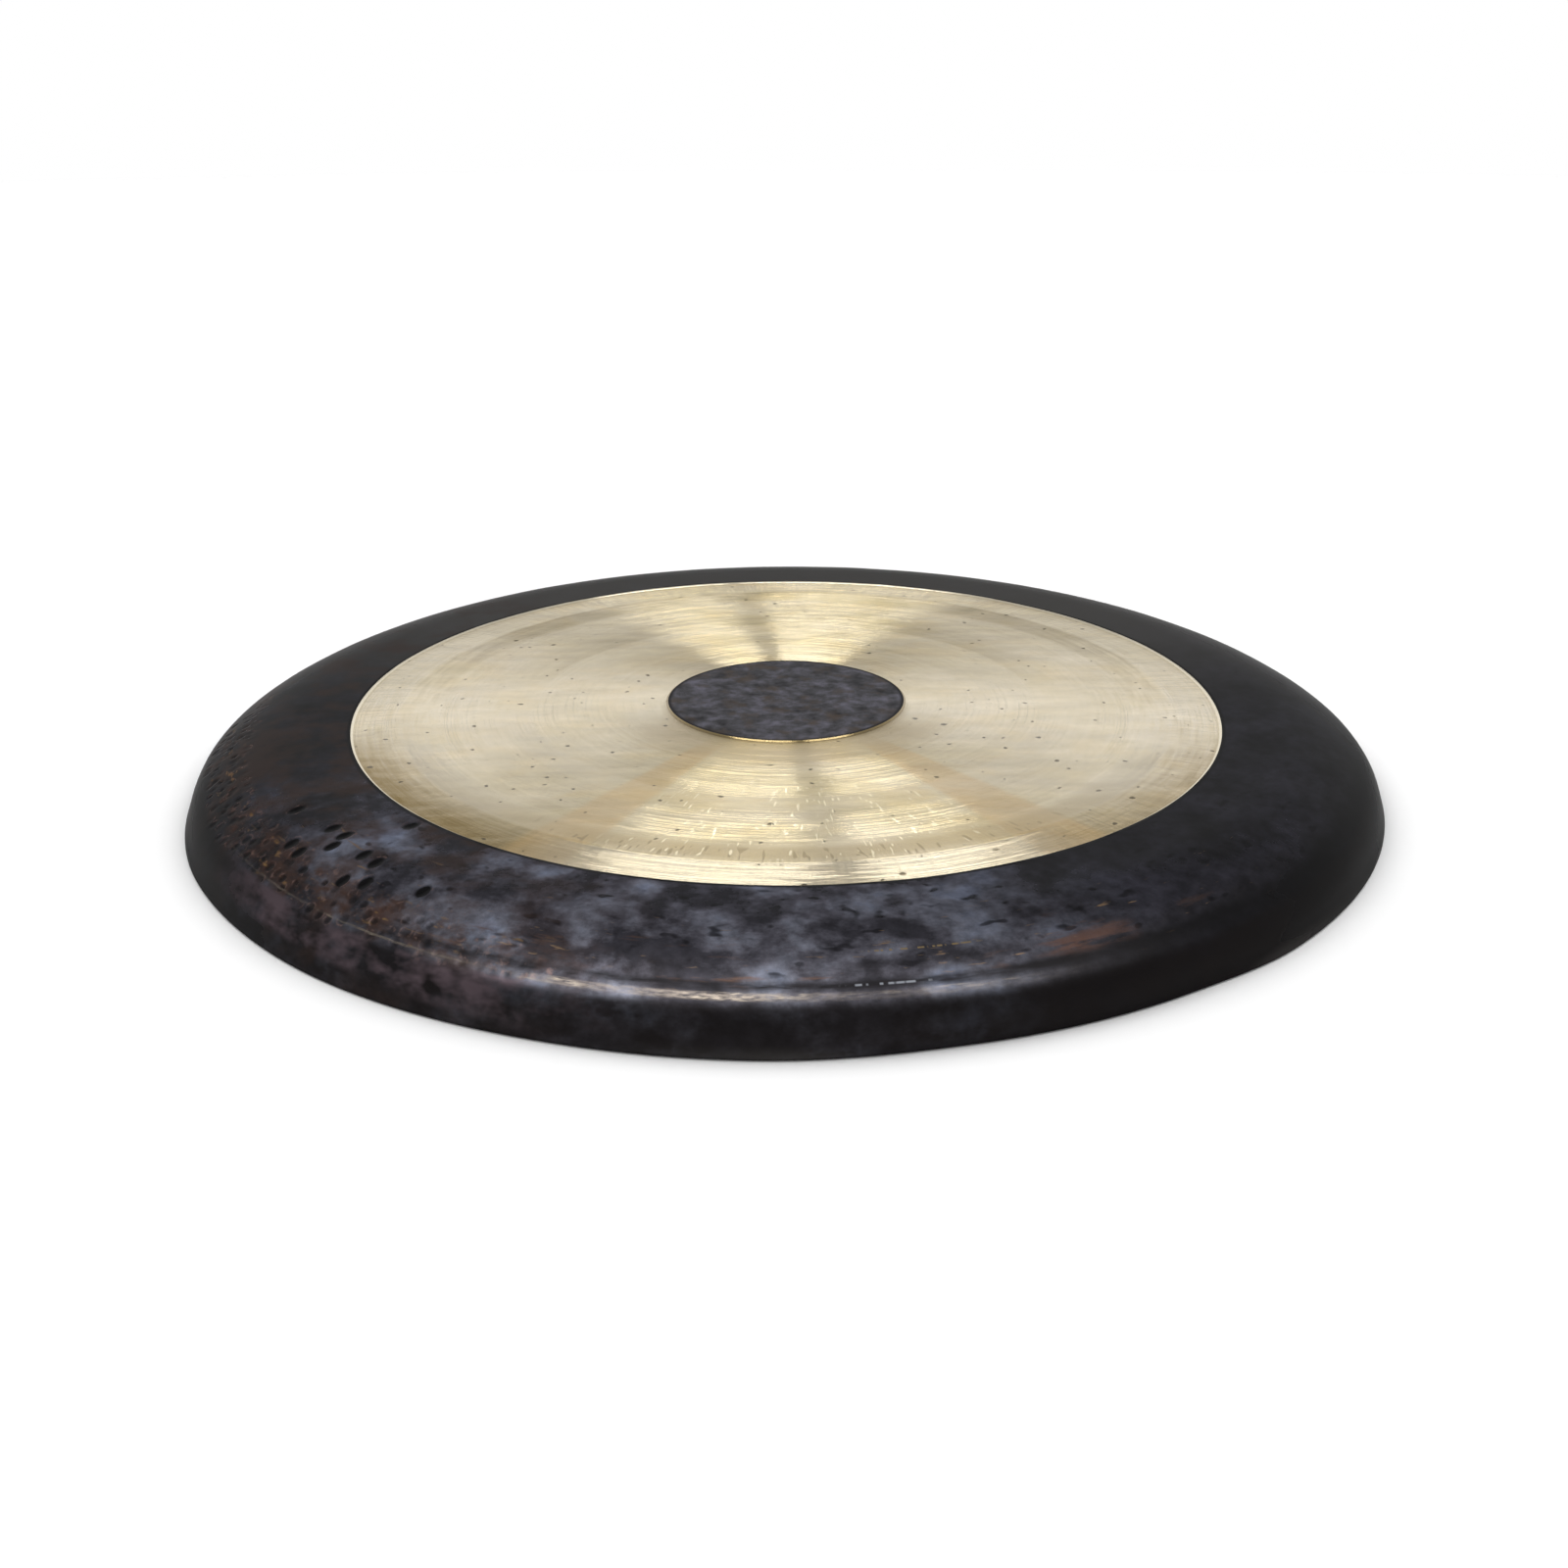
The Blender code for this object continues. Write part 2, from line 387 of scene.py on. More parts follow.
for vert in bm.verts:
    low = max(1 - vert.co.z / TRUE_HEIGHT, 0.0)
    azimuth = azimuth_of(vert.co)
    strays = swell(azimuth, *STANDS_OUT) - swell(azimuth, *STANDS_IN)
    vert.co.xy *= 1 + low * strays * OUT_OF_ROUND / rim_radius

gong_mesh = bpy.data.meshes.new("chau_gong")
bm.to_mesh(gong_mesh)
bm.free()
gong = bpy.data.objects.new("chau_gong", gong_mesh)
bpy.context.scene.collection.objects.link(gong)

# Two holes for a hanging cord, drilled through the bronze of the rim's wall at the back once the
# gong is beaten out. Each is a drill's path taken out of the shell.
CORD_HOLE_RADIUS = 0.0045
CORD_HOLE_SPACING = 0.220
CORD_HOLE_HEIGHT = 0.0125
SHARP_ANGLE = math.radians(40)

hole_distance = foot_radius - CORD_HOLE_HEIGHT * math.tan(WALL_FLARE) - RIM_THICKNESS / 2
for side in (-1, 1):
    turned = math.asin(side * CORD_HOLE_SPACING / 2 / hole_distance)
    across = Matrix.Translation((0.0, hole_distance, CORD_HOLE_HEIGHT))
    across = Matrix.Rotation(-turned, 4, "Z") @ across
    bm = bmesh.new()
    bmesh.ops.create_cone(
        bm,
        cap_ends=True,
        segments=32,
        radius1=CORD_HOLE_RADIUS,
        radius2=CORD_HOLE_RADIUS,
        depth=RIM_THICKNESS * 6,
        matrix=across @ Matrix.Rotation(math.pi / 2, 4, "X"),
    )
    drill_mesh = bpy.data.meshes.new("drill")
    bm.to_mesh(drill_mesh)
    bm.free()
    drill = bpy.data.objects.new("drill", drill_mesh)
    bpy.context.scene.collection.objects.link(drill)
    hole = gong.modifiers.new("cord_hole", "BOOLEAN")
    hole.solver = "EXACT"
    hole.object = drill
    drilled = gong.evaluated_get(bpy.context.evaluated_depsgraph_get())
    gong_mesh = bpy.data.meshes.new_from_object(drilled)
    gong.modifiers.clear()
    gong.data = gong_mesh
    bpy.data.objects.remove(drill, do_unlink=True)
gong_mesh.shade_smooth()
gong_mesh.set_sharp_from_angle(angle=SHARP_ANGLE)
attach(gong, "root")
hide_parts("gong_shell")

# Scraped bronze: the lathe's scraper leaves fine grooves that run round the disc, so the metal
# mirrors along the grooves and spreads light across them, which draws an hourglass of light.
# The grooves are about a third of a millimetre apart, and each leans its own way.
GROOVE_PITCH = 0.00033
GROOVE_LEAN = 1.8

# How far the grooves waver from side to side, over what length and how often across the ring. The
# outer passes are the roughest: there the wavering grows over these radii.
WAVER = 0.05
WAVER_LENGTH = 0.050
WAVER_PITCH = 0.0035
ROUGHER_FROM = 0.20
ROUGHER_TO = 0.266
ROUGHEST = 3.6

# The scraper's strokes and the patches of tone, as 1 over their sizes from left to right and from
# front to back
STROKE = (1 / 0.055, 1 / 0.016, 1.0)
PATCH = (1 / 0.095, 1 / 0.060, 1.0)

# Marks that fan out, as their width round the disc at this radius and length away from the middle
FAN_RADIUS = 0.36
HAIR = (0.0018, 0.030)
NICK = (0.004, 0.013)
PAINTED_GLINT_SHIFT = (3.7, 1.9, 5.3)
SPECK_SPACING = 0.0060

# A radius past the rim, for zones that run on to the edge of their finish
BEYOND = 0.5


def linear(code):
    """An sRGB hex colour as linear RGBA."""
    shares = [int(code[i : i + 2], 16) / 255 for i in (1, 3, 5)]
    return [s / 12.92 if s <= 0.04045 else ((s + 0.055) / 1.055) ** 2.4 for s in shares] + [1.0]


def add_node(tree, kind, feeds=None, out=0, stops=(), **settings):
    """Adds a node and gives back one of its outputs. Feeds are its values or what feeds them."""
    made = tree.nodes.new("ShaderNode" + kind)
    for name, setting in settings.items():
        setattr(made, name, setting)
    for name, value in (feeds or {}).items():
        if isinstance(value, bpy.types.NodeSocket):
            tree.links.new(value, made.inputs[name])
        else:
            made.inputs[name].default_value = value
    for i, (place, shade) in enumerate(stops):
        stop = made.color_ramp.elements[i] if i < 2 else made.color_ramp.elements.new(place)
        stop.position = place
        stop.color = linear(shade)
    return made.outputs[out] if made.outputs else made


def new_finish(name, **values):
    """A metal finish on the gong, with its constant values set on the shader's own sockets."""
    finish = bpy.data.materials.new(name)
    finish.use_nodes = True
    tree = finish.node_tree
    shader = tree.nodes["Principled BSDF"]
    for socket, value in values.items():
        shader.inputs[socket.replace("_", " ")].default_value = value
    gong_mesh.materials.append(finish)
    return tree, shader


def turned_place(tree):
    """Where a point is on the disc: its place, its outward direction and its radius."""
    place = add_node(tree, "TexCoord", out="Object")
    flat = add_node(tree, "VectorMath", {0: place, 1: (1, 1, 0)}, operation="MULTIPLY")
    outward = add_node(tree, "VectorMath", {0: flat}, operation="NORMALIZE")
    radius = add_node(tree, "VectorMath", {0: flat}, operation="LENGTH", out="Value")
    return place, outward, radius


def fan(tree, place, width, length):
    """A place for marks that fan out from the middle and run down over the rim, one unit each."""
    flat = add_node(tree, "VectorMath", {0: place, 1: (1, 1, 0)}, operation="MULTIPLY")
    outward = add_node(tree, "VectorMath", {0: flat}, operation="NORMALIZE")
    turned = add_node(tree, "VectorMath", {0: outward, "Scale": FAN_RADIUS / width}, operation="SCALE")
    radius = add_node(tree, "VectorMath", {0: flat}, operation="LENGTH", out="Value")
    height = add_node(tree, "SeparateXYZ", {0: place}, out="Z")
    run = add_node(tree, "Math", {0: radius, 1: height}, operation="SUBTRACT")
    run = add_node(tree, "Math", {0: run, 1: 1 / length}, operation="MULTIPLY")
    lifted = add_node(tree, "CombineXYZ", {"Z": run})
    return add_node(tree, "VectorMath", {0: turned, 1: lifted}, operation="ADD")


def sector(tree, outward, azimuth, half_width, fade):
    """1 in a sector of the disc about an azimuth from the front, and 0 outside it, in degrees."""
    toward = (math.sin(math.radians(azimuth)), -math.cos(math.radians(azimuth)), 0.0)
    along = add_node(tree, "VectorMath", {0: outward, 1: toward}, operation="DOT_PRODUCT", out="Value")
    edges = {
        "Value": along,
        "From Min": math.cos(math.radians(half_width + fade)),
        "From Max": math.cos(math.radians(half_width - fade)),
    }
    return add_node(tree, "MapRange", edges, interpolation_type="SMOOTHSTEP")


def zone(tree, radius, start, stop, fade):
    """1 between two radii and 0 outside them, in metres."""
    inside = {"Value": radius, "From Min": start - fade, "From Max": start + fade}
    beyond = {"Value": radius, "From Min": stop + fade, "From Max": stop - fade}
    first = add_node(tree, "MapRange", inside, interpolation_type="SMOOTHSTEP")
    second = add_node(tree, "MapRange", beyond, interpolation_type="SMOOTHSTEP")
    return add_node(tree, "Math", {0: first, 1: second}, operation="MULTIPLY")


def noise_share(tree, where, scale, low, high, to_low=0.0, to_high=1.0, detail=3.0):
    """Noise of one scale, spread from one share to another between two of its levels."""
    cloud = {"Vector": where, "Scale": scale, "Detail": detail, "Roughness": 0.6}
    cloud = add_node(tree, "TexNoise", cloud)
    levels = {"Value": cloud, "From Min": low, "From Max": high, "To Min": to_low, "To Max": to_high}
    return add_node(tree, "MapRange", levels)


def product(tree, *shares):
    """Several masks multiplied together."""
    whole = shares[0]
    for share in shares[1:]:
        whole = add_node(tree, "Math", {0: whole, 1: share}, operation="MULTIPLY")
    return whole


def stain(tree, metal, color, *masks):
    """A hex colour laid over the metal's own where every mask says. A number thins it."""
    layers = {0: product(tree, *masks), 6: metal, 7: linear(color)}
    return add_node(tree, "Mix", layers, data_type="RGBA", out=2)


tree, shader = new_finish("scraped_bronze", Metallic=1.0, Anisotropic=1.0, Roughness=0.26)
place, outward, radius = turned_place(tree)
tree.links.new(outward, shader.inputs["Tangent"])

groove = {"W": radius, "Scale": 1 / GROOVE_PITCH, "Detail": 0.0}
groove = add_node(tree, "TexNoise", groove, noise_dimensions="1D")
groove = {"Value": groove, "To Min": -GROOVE_LEAN, "To Max": GROOVE_LEAN}
groove = add_node(tree, "MapRange", groove, clamp=False)
lean = add_node(tree, "Attribute", attribute_name="groove_lean", out="Fac")
tilt = add_node(tree, "Attribute", attribute_name="groove_tilt", out="Fac")
lean = add_node(tree, "Math", {0: groove, 1: lean, 2: tilt}, operation="MULTIPLY_ADD")
leaning = add_node(tree, "VectorMath", {0: outward, "Scale": lean}, operation="SCALE")
sideways = add_node(tree, "VectorMath", {0: outward, 1: (0, 0, 1)}, operation="CROSS_PRODUCT")
waver_place = fan(tree, place, WAVER_LENGTH, WAVER_PITCH)
waver = noise_share(tree, waver_place, 1.0, 0.0, 1.0, -WAVER, WAVER, 2.0)
rougher = {
    "Value": radius,
    "From Min": ROUGHER_FROM,
    "From Max": ROUGHER_TO,
    "To Min": 1.0,
    "To Max": ROUGHEST,
}
rougher = add_node(tree, "MapRange", rougher)
waver = product(tree, waver, rougher)
wavering = add_node(tree, "VectorMath", {0: sideways, "Scale": waver}, operation="SCALE")
level = add_node(tree, "NewGeometry", out="Normal")
grooved = add_node(tree, "VectorMath", {0: level, 1: leaning}, operation="ADD")
grooved = add_node(tree, "VectorMath", {0: grooved, 1: wavering}, operation="ADD")
grooved = add_node(tree, "VectorMath", {0: grooved}, operation="NORMALIZE")
tree.links.new(grooved, shader.inputs["Normal"])

# Two tones of bronze in broad patches, and a yellower one between them
patch_place = add_node(tree, "VectorMath", {0: place, 1: PATCH}, operation="MULTIPLY")
bronze = stain(tree, linear("#DDCDA4"), "#EBDDBE", noise_share(tree, patch_place, 1.0, 0.35, 0.65))
yellow = {"Vector": patch_place, "Scale": 2.2, "Detail": 2.0, "Distortion": 0.4}
yellow = add_node(tree, "TexNoise", yellow, out="Color")
yellow = add_node(tree, "SeparateXYZ", {0: yellow}, out="Y")
yellow = {"Value": yellow, "From Min": 0.5, "From Max": 0.72, "To Max": 0.35}
bronze = stain(tree, bronze, "#E9CF96", add_node(tree, "MapRange", yellow))

# The scraper's strokes darken and brighten it, and so do hair lines towards the ring's outer edge
stroke_place = add_node(tree, "VectorMath", {0: place, 1: STROKE}, operation="MULTIPLY")
strokes = noise_share(tree, stroke_place, 1.0, 0.3, 0.7, 0.83, 1.09, 5.0)
hairs = noise_share(tree, fan(tree, place, *HAIR), 1.0, 0.35, 0.65, 0.84, 1.08, 1.0)
worn_edge = zone(tree, radius, 0.262, BEYOND, 0.025)
hairs = add_node(tree, "Mix", {0: worn_edge, 2: 1.0, 3: hairs}, data_type="FLOAT")
texture = product(tree, strokes, hairs)
bronze = add_node(tree, "VectorMath", {0: bronze, "Scale": texture}, operation="SCALE")

# Paler at the left and the right: a painted reflection of the white sweep that the sides mirror
paler = {0: sector(tree, outward, -92, 46, 24), 1: sector(tree, outward, 92, 46, 24)}
bronze = stain(tree, bronze, "#E6DCCC", add_node(tree, "Math", paler, operation="ADD"), 0.35)

# Olive beside the front highlight, near the outer edge: partly an olive tint of the metal, partly
# painted shade where it mirrors the darker studio. Gold along the highlight's two sides is a painted
# tint of it.
streaky_breakup = noise_share(tree, stroke_place, 1.6, 0.3, 0.6, 0.7, 1.0)
olive_and_shade_right = product(tree, sector(tree, outward, 50, 16, 16), 0.6)
olive_and_shade = {0: sector(tree, outward, -50, 19, 14), 1: olive_and_shade_right}
olive_and_shade = add_node(tree, "Math", olive_and_shade, operation="ADD")
bronze = stain(tree, bronze, "#8F7844", olive_and_shade, zone(tree, radius, 0.268, BEYOND, 0.028), streaky_breakup)
# Painted tint of the front highlight's two edges
highlight_edge_gold = {0: sector(tree, outward, -29, 1, 4), 1: sector(tree, outward, 34, 1, 4.5)}
highlight_edge_gold = add_node(tree, "Math", highlight_edge_gold, operation="ADD")
bronze = stain(tree, bronze, "#DDB36C", highlight_edge_gold, zone(tree, radius, 0.10, BEYOND, 0.02), streaky_breakup, 0.34)

# The innermost band is browner and darker at the front, partly its own tone and partly painted
# shade where its reflection is dim. The outermost band is painted paler and greyer at the front only,
# under the front highlight, a painted tone of that highlight.
inner_brown_and_shade = product(tree, zone(tree, radius, 0.0, 0.119, 0.017), sector(tree, outward, 0, 62, 14), 0.5)
bronze = stain(tree, bronze, "#A99468", inner_brown_and_shade)
# Painted tone of the front highlight on the outermost band
last = product(tree, zone(tree, radius, 0.2655, BEYOND, 0.001), sector(tree, outward, 2, 30, 6), 0.6)
bronze = stain(tree, bronze, "#CEC4B0", last)

# Nicks where the tool chattered on the third band, a darker tone over that band at the front, and
# painted glints further in. Specks of oxide are left all over the ring.
nick_place = fan(tree, place, *NICK)
bronze = stain(
    tree,
    bronze,
    "#6E5930",
    noise_share(tree, nick_place, 1.0, 0.705, 0.73, detail=0.0),
    zone(tree, radius, 0.246, 0.263, 0.003),
    sector(tree, outward, 2, 34, 10),
    0.5,
)
specks = noise_share(tree, place, 1 / SPECK_SPACING, 0.80, 0.81, detail=0.0)
bronze = stain(tree, bronze, "#4A3E24", specks, 0.8)
# A darker tone over the third band at the front
front_band_darkening = product(tree, zone(tree, radius, 0.243, 0.262, 0.006), sector(tree, outward, 4, 40, 14), 0.5)
bronze = stain(tree, bronze, "#B39E70", front_band_darkening)
# Painted glints: pale bright spots in the front highlight
painted_glint_place = add_node(tree, "VectorMath", {0: nick_place, 1: PAINTED_GLINT_SHIFT}, operation="ADD")
bronze = stain(
    tree,
    bronze,
    "#FFF3D2",
    noise_share(tree, painted_glint_place, 1.3, 0.725, 0.755, detail=0.0),
    zone(tree, radius, 0.150, 0.262, 0.006),
    sector(tree, outward, 2, 22, 8),
    0.8,
)

# A painted highlight as a bright line on the bevel where the last pass stops, and a duller line round
# the dark middle, painted darker to tone down its bevel's reflection
bronze = stain(tree, bronze, "#F4EAD2", zone(tree, radius, 0.2926, BEYOND, 0.0003))
bronze = stain(tree, bronze, "#8C7A54", zone(tree, radius, 0.0, 0.0829, 0.0003), 0.8)
tree.links.new(bronze, shader.inputs["Base Color"])

# Fire skin of the middle: the black and slate oxide that forging leaves, mottled by the hammer.
# It is a dull metal, so the eye sees grey clouds on it and only a faint shine.
MOTTLE_SIZE = 0.012
RUST_SIZE = 0.020

tree, shader = new_finish("fire_skin_middle", Metallic=0.7, Roughness=0.5)
shader.inputs["Specular Tint"].default_value = linear("#B0B0B0")
place, _, radius = turned_place(tree)
mottle = {"Vector": place, "Scale": 1 / MOTTLE_SIZE, "Detail": 5.0, "Roughness": 0.65}
mottle = add_node(tree, "TexNoise", mottle)
greys = ((0.30, "#201F22"), (0.72, "#686672"), (0.50, "#464549"))
skin = add_node(tree, "ValToRGB", {0: mottle}, stops=greys)
skin = stain(tree, skin, "#4E4238", noise_share(tree, place, 1 / RUST_SIZE, 0.52, 0.68, 0.0, 0.7))
skin = stain(tree, skin, "#1C1A1C", zone(tree, radius, 0.0795, 0.09, 0.0015))
tree.links.new(skin, shader.inputs["Base Color"])

# Fire skin of the rim: the same oxide over hammered ground. It is slate blue over the front of the
# band, partly its own colour and partly a painted sheen, brown and violet towards the shoulder, and
# rubbed to bare bronze along the crest, where part of the shine is painted.
BLOTCH = (0.046, 0.040)
UNEVENNESS = 0.55
FACET_SHADING = 0.070
GRIME_SIZE = 0.008
BROWN_SIZE = 0.030
RIDGE_SIZE = 0.007

# Sizes of smaller marks, as width round the disc and length away from the middle. The dashes and
# dots are cut off by their zone, so only their width counts.
SPOT = (0.014, 0.009)
GILT = (0.013, 0.0075)
SCRAPE = (0.020, 0.0045)
SCUFF = (0.006, 0.0018)
PAINTED_SHINE = (0.019, 0.0045)
PAINTED_GLINT_DASH = (0.0032, 0.5)
DOT = (0.0028, 0.5)
DULL = 0.38
RUBBED = 0.27

tree, shader = new_finish("fire_skin_rim", Metallic=0.75)
shader.inputs["Specular Tint"].default_value = linear("#7A7A7A")
place, outward, radius = turned_place(tree)

# Blotches of slate over the front of the band, with hammered facets in them, and a plain dark skin
# elsewhere. The slate is partly the oxide's colour and partly a painted sheen of the lamps, so it lies
# at the front only. The facets are painted lighter in their middles and darker at their edges, a
# painted shading.
blotch_place = fan(tree, place, *BLOTCH)
blotch = {"Vector": blotch_place, "Scale": 1.0, "Detail": 7.0, "Roughness": 0.62, "Distortion": 0.1}
blotch = add_node(tree, "TexNoise", blotch)
uneven = add_node(tree, "TexNoise", {"Vector": blotch_place, "Scale": 1.6, "Detail": 3.0}, out="Color")
uneven = add_node(tree, "VectorMath", {0: uneven, "Scale": UNEVENNESS}, operation="SCALE")
facet_place = add_node(tree, "VectorMath", {0: blotch_place, 1: uneven}, operation="ADD")
facets = {"Vector": facet_place, "Scale": 1.15, "Smoothness": 0.6}
facets = add_node(tree, "TexVoronoi", facets, out="Distance", feature="SMOOTH_F1")
facets = {
    "Value": facets,
    "From Min": 0.12,
    "From Max": 0.56,
    "To Min": FACET_SHADING,
    "To Max": -FACET_SHADING,
}
facets = add_node(tree, "MapRange", facets, interpolation_type="SMOOTHSTEP")
front = sector(tree, outward, -18, 34, 18)
blotch = add_node(tree, "Math", {0: blotch, 1: product(tree, facets, front)}, operation="ADD")
slate_and_sheen_stops = ((0.37, "#323137"), (0.66, "#727889"), (0.45, "#4D4C54"), (0.55, "#676974"))
slate_and_sheen = add_node(tree, "ValToRGB", {0: blotch}, stops=slate_and_sheen_stops)
plain = add_node(tree, "ValToRGB", {0: blotch}, stops=((0.34, "#1C1B1E"), (0.66, "#34333B")))
skin = add_node(tree, "Mix", {0: front, 6: plain, 7: slate_and_sheen}, data_type="RGBA", out=2)

# Burnt darker from the shoulder down, with spots of scale on the band, and grime over it all. The
# far side is painted a paler grey, a painted reflection of the bright sweep seen at a low angle.
burnt = noise_share(tree, blotch_place, 1.3, 0.35, 0.6, 0.75, 0.25, 4.0)
skin = stain(tree, skin, "#1D1B1C", burnt, zone(tree, radius, 0.366, BEYOND, 0.012))
skin = stain(
    tree,
    skin,
    "#151417",
    noise_share(tree, fan(tree, place, *SPOT), 1.0, 0.64, 0.72, detail=1.0),
    zone(tree, radius, 0.300, 0.376, 0.004),
    sector(tree, outward, 5, 62, 18),
    0.75,
)
grime = noise_share(tree, place, 1 / GRIME_SIZE, 0.32, 0.68, 0.62, 1.25, 5.0)
skin = add_node(tree, "VectorMath", {0: skin, "Scale": grime}, operation="SCALE")
# Painted reflection on the far side
skin = stain(tree, skin, "#565451", sector(tree, outward, 180, 72, 26), 0.75)

# Brown at the left, then rust and gilt where the left of the shoulder was beaten over
brown = noise_share(tree, place, 1 / BROWN_SIZE, 0.45, 0.62)
skin = stain(tree, skin, "#43332C", sector(tree, outward, -80, 50, 25), brown, 0.7)
shoulder = product(tree, zone(tree, radius, 0.362, 0.384, 0.005), sector(tree, outward, -58, 36, 14))
rust = noise_share(tree, blotch_place, 3.2, 0.46, 0.68, detail=5.0)
skin = stain(tree, skin, "#46352F", shoulder, rust)
gilt = noise_share(tree, fan(tree, place, *GILT), 1.0, 0.62, 0.72, detail=2.0)
skin = stain(tree, skin, "#7C6240", shoulder, gilt, 0.7)

# Rust in streaks across the front and in one patch at the right of them, scrapes down to the
# bronze, and a dark line just inside the crest at the front
scrape_place = fan(tree, place, *SCRAPE)
skin = stain(
    tree,
    skin,
    "#533E33",
    noise_share(tree, scrape_place, 0.45, 0.60, 0.72, detail=5.0),
    zone(tree, radius, 0.352, 0.380, 0.005),
    sector(tree, outward, 2, 30, 12),
    0.75,
)
skin = stain(
    tree,
    skin,
    "#573F35",
    noise_share(tree, scrape_place, 0.7, 0.42, 0.56, detail=6.0),
    zone(tree, radius, 0.3650, 0.3765, 0.004),
    sector(tree, outward, 24.5, 3, 2.5),
    0.65,
)
skin = stain(
    tree,
    skin,
    "#75604A",
    noise_share(tree, scrape_place, 1.0, 0.66, 0.74),
    zone(tree, radius, 0.328, 0.381, 0.008),
    sector(tree, outward, -8, 50, 16),
    0.8,
)
# A dark line just inside the crest at the front
skin = stain(
    tree,
    skin,
    "#100F10",
    noise_share(tree, scrape_place, 0.5, 0.35, 0.6, 0.3, 0.95),
    zone(tree, radius, 0.3765, 0.3812, 0.0018),
    sector(tree, outward, 0, 34, 16),
)

# Each dent and peen mark is dark inside, and here and there its ridge has a painted highlight
dents = add_node(tree, "Attribute", attribute_name="dents", out="Fac")
skin = stain(
    tree,
    skin,
    "#705C57",
    add_node(tree, "MapRange", {"Value": dents, "From Min": 0.01, "From Max": 0.08}),
    add_node(tree, "MapRange", {"Value": dents, "From Min": 0.35, "From Max": 0.12}),
    noise_share(tree, place, 1 / RIDGE_SIZE, 0.52, 0.66),
    0.6,
)
pits = add_node(tree, "MapRange", {"Value": dents, "From Min": 0.12, "From Max": 0.75})
skin = stain(tree, skin, "#0B0A0C", pits)

# The shoulder and the wall are painted nearly black at the right, painted shade on that side. The
# wall is dark all round, with a paler foot at the front right, a painted reflection of the floor, and a
# mauve cast at the front left.
# Painted shade at the right
right = product(tree, zone(tree, radius, 0.376, BEYOND, 0.006), sector(tree, outward, 58, 44, 12), 0.75)
skin = stain(tree, skin, "#0D0C0D", right)
wall = noise_share(tree, blotch_place, 2.6, 0.38, 0.62, 0.62, 0.95)
skin = stain(tree, skin, "#171414", zone(tree, radius, 0.3875, BEYOND, 0.0025), wall)
# Painted reflection of the floor on the foot at the front right
painted_foot_reflection = product(tree, zone(tree, radius, 0.3990, BEYOND, 0.0018), sector(tree, outward, 28, 30, 14), 0.6)
skin = stain(tree, skin, "#4A4846", painted_foot_reflection)
skin = stain(
    tree,
    skin,
    "#51464B",
    noise_share(tree, blotch_place, 1.7, 0.40, 0.60),
    zone(tree, radius, 0.3865, 0.3985, 0.0015),
    sector(tree, outward, -35, 15, 9),
)

# The crest, where the band turns down into the shoulder, is rubbed bare: broadly at the front, and
# in a thin line to the left of it. It is paler only where the lamps' highlight falls, so it is partly a
# painted highlight, and its barest stretches have a brighter painted shine.
scuffs = noise_share(tree, fan(tree, place, *SCUFF), 1.0, 0.34, 0.62, 0.1, 1.0, 4.0)
stretches = noise_share(tree, blotch_place, 0.8, 0.40, 0.58, 0.15, 1.0, 1.0)
broad = product(tree, zone(tree, radius, 0.3822, 0.3856, 0.0008), scuffs, stretches)
broad = product(tree, broad, sector(tree, outward, -3, 17, 12))
thin = product(tree, zone(tree, radius, 0.3832, 0.3842, 0.0004), scuffs, stretches)
thin = product(tree, thin, sector(tree, outward, -36, 18, 8))
crest = add_node(tree, "Math", {0: broad, 1: thin}, operation="MAXIMUM")
skin = stain(tree, skin, "#686058", crest)
painted_shine = noise_share(tree, fan(tree, place, *PAINTED_SHINE), 1.0, 0.54, 0.66, detail=2.0)
skin = stain(tree, skin, "#958A7B", crest, painted_shine)
gloss = add_node(tree, "MapRange", {"Value": crest, "To Min": DULL, "To Max": RUBBED})
tree.links.new(gloss, shader.inputs["Roughness"])

# A row of pale dashes just inside the crest, painted glints, a row of dots on the band, and a black
# border where the scraper stopped
skin = stain(
    tree,
    skin,
    "#595B60",
    noise_share(tree, fan(tree, place, *PAINTED_GLINT_DASH), 1.0, 0.50, 0.58, detail=0.0),
    zone(tree, radius, 0.3784, 0.3794, 0.0003),
    sector(tree, outward, 7.5, 3, 1),
)
skin = stain(
    tree,
    skin,
    "#766549",
    noise_share(tree, fan(tree, place, *DOT), 1.0, 0.48, 0.56, detail=1.0),
    zone(tree, radius, 0.3598, 0.3608, 0.0004),
    sector(tree, outward, 11, 4, 1.5),
)
skin = stain(tree, skin, "#141416", zone(tree, radius, 0.28, 0.2962, 0.0014))
tree.links.new(skin, shader.inputs["Base Color"])

# Fire skin of the hollow side: never scraped, so it keeps the hammer's marks and the soot. It is
# dull and nearly black, with brownish clouds.
SOOT_SIZE = 0.025

tree, shader = new_finish("fire_skin_hollow", Metallic=0.6, Roughness=0.55)
place = add_node(tree, "TexCoord", out="Object")
soot = add_node(tree, "TexNoise", {"Vector": place, "Scale": 1 / SOOT_SIZE, "Detail": 4.0})
soot = add_node(tree, "ValToRGB", {0: soot}, stops=((0.35, "#1B1A1C"), (0.65, "#3A3433")))
tree.links.new(soot, shader.inputs["Base Color"])

# The floor: a plain matt white table, which the gong lies on and which keeps its soft shadow. It is
# clear from below, and lets light through under the gong, so that the hollow side can be seen.
FLOOR_RADIUS = 8.0
COVERED_RADIUS = 0.390
FLOOR_GAP = 0.0003

